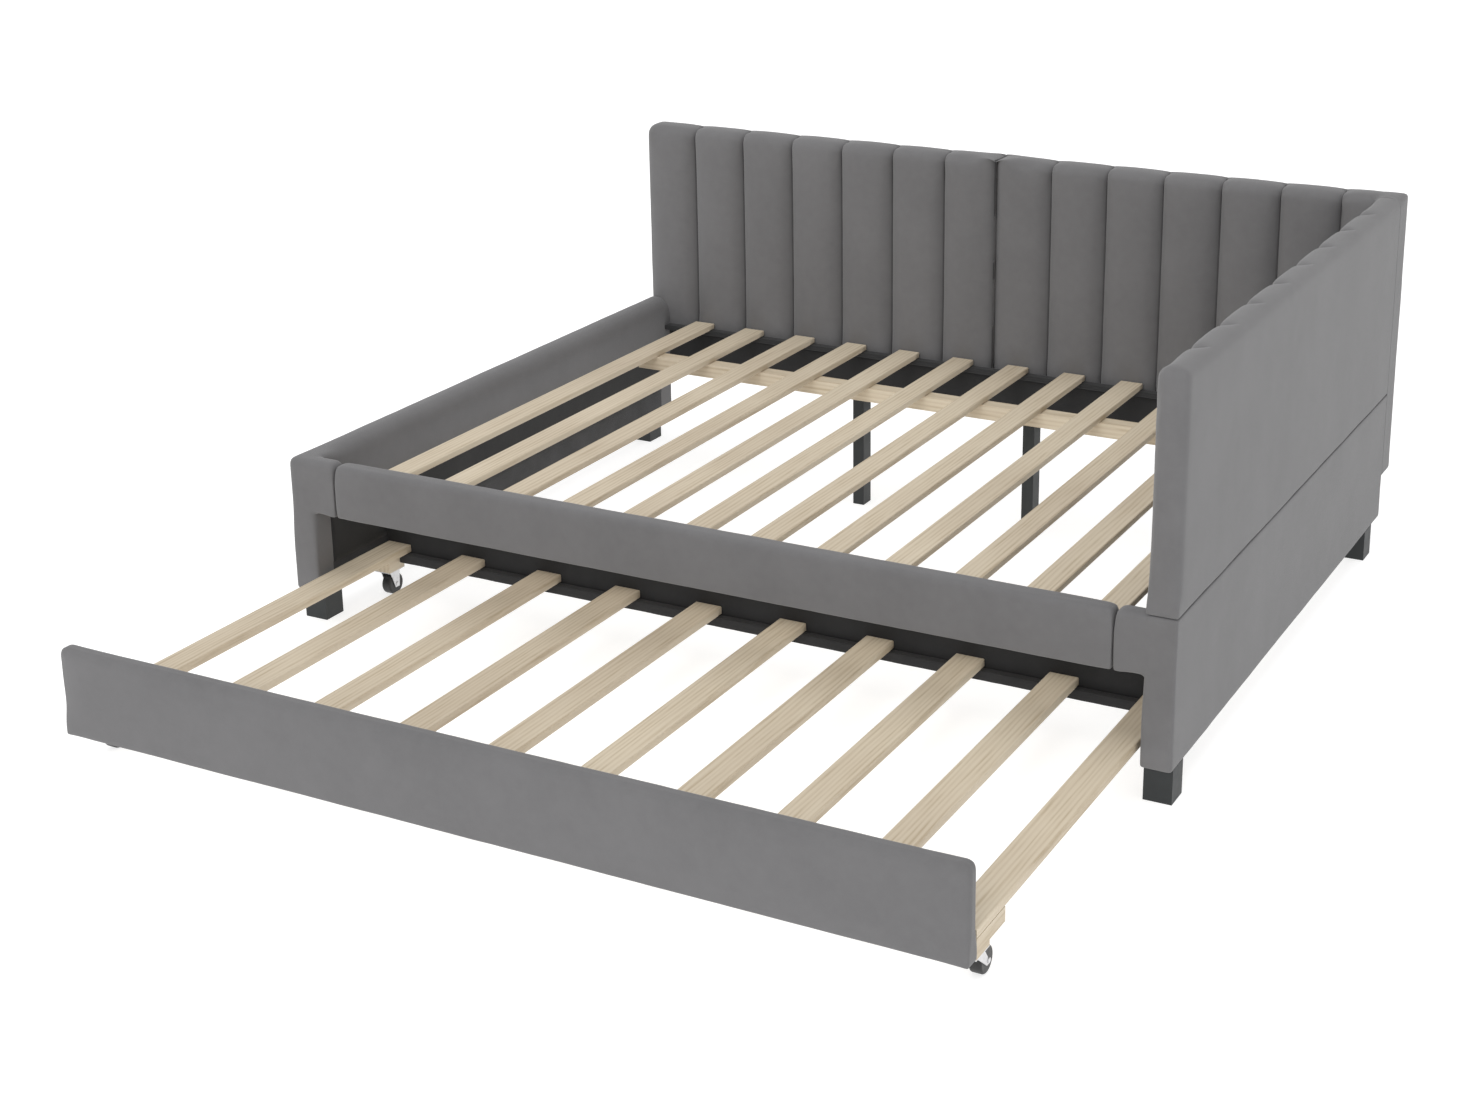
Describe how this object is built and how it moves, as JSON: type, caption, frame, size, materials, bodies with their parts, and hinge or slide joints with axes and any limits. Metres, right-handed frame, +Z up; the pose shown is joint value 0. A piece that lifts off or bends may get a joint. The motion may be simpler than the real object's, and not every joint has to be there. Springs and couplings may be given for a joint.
{
  "type": "trundle bed",
  "caption": "Upholstered corner daybed with a tall arm, a channelled back, a slatted base and a roll-out slatted trundle on rigid casters.",
  "frame": {"origin": "on the floor, at the middle of the whole bed's box with the trundle pulled out as modelled", "axes": "+X along the bed towards the tall arm, +Y from the trundle's front towards the back panel, +Z up"},
  "size_m": [2.057, 2.376, 0.862],
  "materials": {
    "upholstery": "matt grey suede-like velvet over foam",
    "black_lining": "black non-woven cloth",
    "leg_finish": "satin near-black",
    "pine": "planed pale pine, unvarnished",
    "frame_wood": "sawn softwood, hidden",
    "bolt_steel": "zinc plated",
    "caster_steel": "zinc-plated pressed steel",
    "caster_tread": "black nylon"
  },
  "bodies": {
    "bed": {"left_panel_cover": "upholstery", "left_panel_frame": "frame_wood", "left_panel_lining": "black_lining", "back_cover_left": "upholstery", "back_frame_left": "frame_wood", "right_panel_cover": "upholstery", "right_panel_frame": "frame_wood", "right_panel_lining": "black_lining", "back_cover_right": "upholstery", "back_frame_right": "frame_wood", "tall_panel_cover": "upholstery", "tall_panel_frame": "frame_wood", "back_ledge": "black_lining", "back_lining": "black_lining", "front_rail_cover": "upholstery", "front_rail_frame": "frame_wood", "front_ledge": "pine", "slat_01": "pine", "slat_02": "pine", "slat_03": "pine", "slat_04": "pine", "slat_05": "pine", "slat_06": "pine", "slat_07": "pine", "slat_08": "pine", "slat_09": "pine", "slat_10": "pine", "slat_11": "pine", "slat_12": "pine", "center_beam": "pine", "center_leg_left": "leg_finish", "center_leg_right": "leg_finish", "leg_front_left": "leg_finish", "leg_rear_left": "leg_finish", "leg_front_right": "leg_finish", "leg_rear_right": "leg_finish", "frame_bolts": "bolt_steel", "leg_bolts": "bolt_steel"},
    "trundle": {"trundle_front_cover": "upholstery", "trundle_front_board": "frame_wood", "trundle_front_ledge": "pine", "trundle_rear_rail": "black_lining", "trundle_rear_ledge": "black_lining", "trundle_slat_01": "pine", "trundle_slat_02": "pine", "trundle_slat_03": "pine", "trundle_slat_04": "pine", "trundle_slat_05": "pine", "trundle_slat_06": "pine", "trundle_slat_07": "pine", "trundle_slat_08": "pine", "trundle_slat_09": "pine", "trundle_slat_10": "pine", "caster_blocks": "pine", "caster_forks": "caster_steel", "caster_axles": "caster_steel"},
    "wheel_front_left": {"caster_wheel_front_left": "caster_tread"},
    "wheel_rear_left": {"caster_wheel_rear_left": "caster_tread"},
    "wheel_front_right": {"caster_wheel_front_right": "caster_tread"},
    "wheel_rear_right": {"caster_wheel_rear_right": "caster_tread"}
  },
  "joints": [
    {"name": "trundle_slide", "type": "slide", "parent": "bed", "child": "trundle", "axis": [0, 1, 0], "range_m": [-0.28, 0.773]},
    {"name": "front_left_roll", "type": "hinge", "parent": "trundle", "child": "wheel_front_left", "pos_m": [-0.9335, -1.083, 0.025], "axis": [1, 0, 0], "continuous": true},
    {"name": "rear_left_roll", "type": "hinge", "parent": "trundle", "child": "wheel_rear_left", "pos_m": [-0.9335, -0.196, 0.025], "axis": [1, 0, 0], "continuous": true},
    {"name": "front_right_roll", "type": "hinge", "parent": "trundle", "child": "wheel_front_right", "pos_m": [0.9335, -1.083, 0.025], "axis": [1, 0, 0], "continuous": true},
    {"name": "rear_right_roll", "type": "hinge", "parent": "trundle", "child": "wheel_rear_right", "pos_m": [0.9335, -0.196, 0.025], "axis": [1, 0, 0], "continuous": true}
  ]
}
